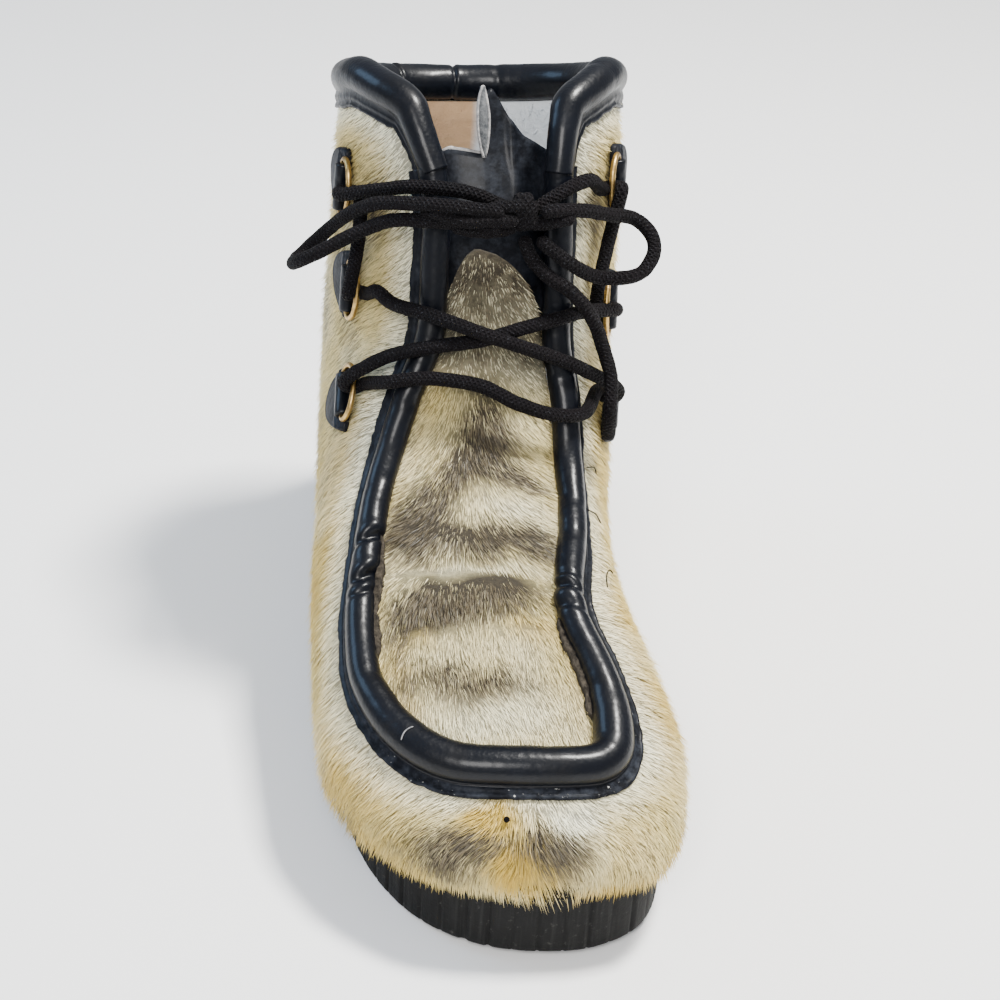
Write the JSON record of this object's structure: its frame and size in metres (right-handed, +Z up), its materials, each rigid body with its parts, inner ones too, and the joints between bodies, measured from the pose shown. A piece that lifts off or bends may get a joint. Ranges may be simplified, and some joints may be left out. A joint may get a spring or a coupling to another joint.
{
  "type": "winter boot",
  "caption": "Right lace-up winter boot with a fur upper, leather collar and piping, ring eyelets, a bowed lace and a ribbed rubber cup sole.",
  "frame": {"origin": "middle of the box round the boot without the loose lace, at the floor", "axes": "+Y to the heel, -Y to the toe, +X to the big-toe side, +Z up"},
  "size_m": [0.1206, 0.2792, 0.2041],
  "materials": {
    "fur_cream": "short dense fur, cream to straw yellow with grey-brown patches",
    "fur_banded": "short dense fur with dark cross bands",
    "leather_black": "smooth, semi-gloss",
    "rubber_black": "matt, dusty",
    "fleece": "woolly pile",
    "brass": "polished wire, a little tarnished",
    "lace_black": "round braid with small glints"
  },
  "bodies": {
    "root": {"outsole": "rubber_black", "insole": "fleece", "upper": "fur_cream", "apron": "fur_banded", "tongue": "leather_black", "piping": "leather_black", "collar": "leather_black", "tab_lateral_1": "leather_black", "tab_lateral_2": "leather_black", "tab_lateral_3": "leather_black", "tab_medial_1": "leather_black", "tab_medial_2": "leather_black", "tab_medial_3": "leather_black", "ring_lateral_1": "brass", "ring_lateral_2": "brass", "ring_lateral_3": "brass", "ring_medial_1": "brass", "ring_medial_2": "brass", "ring_medial_3": "brass", "lace_crossings": "lace_black", "lace_knot": "lace_black", "lace_loop_lateral": "lace_black", "lace_loop_medial": "lace_black", "lace_end": "lace_black"}
  },
  "joints": []
}
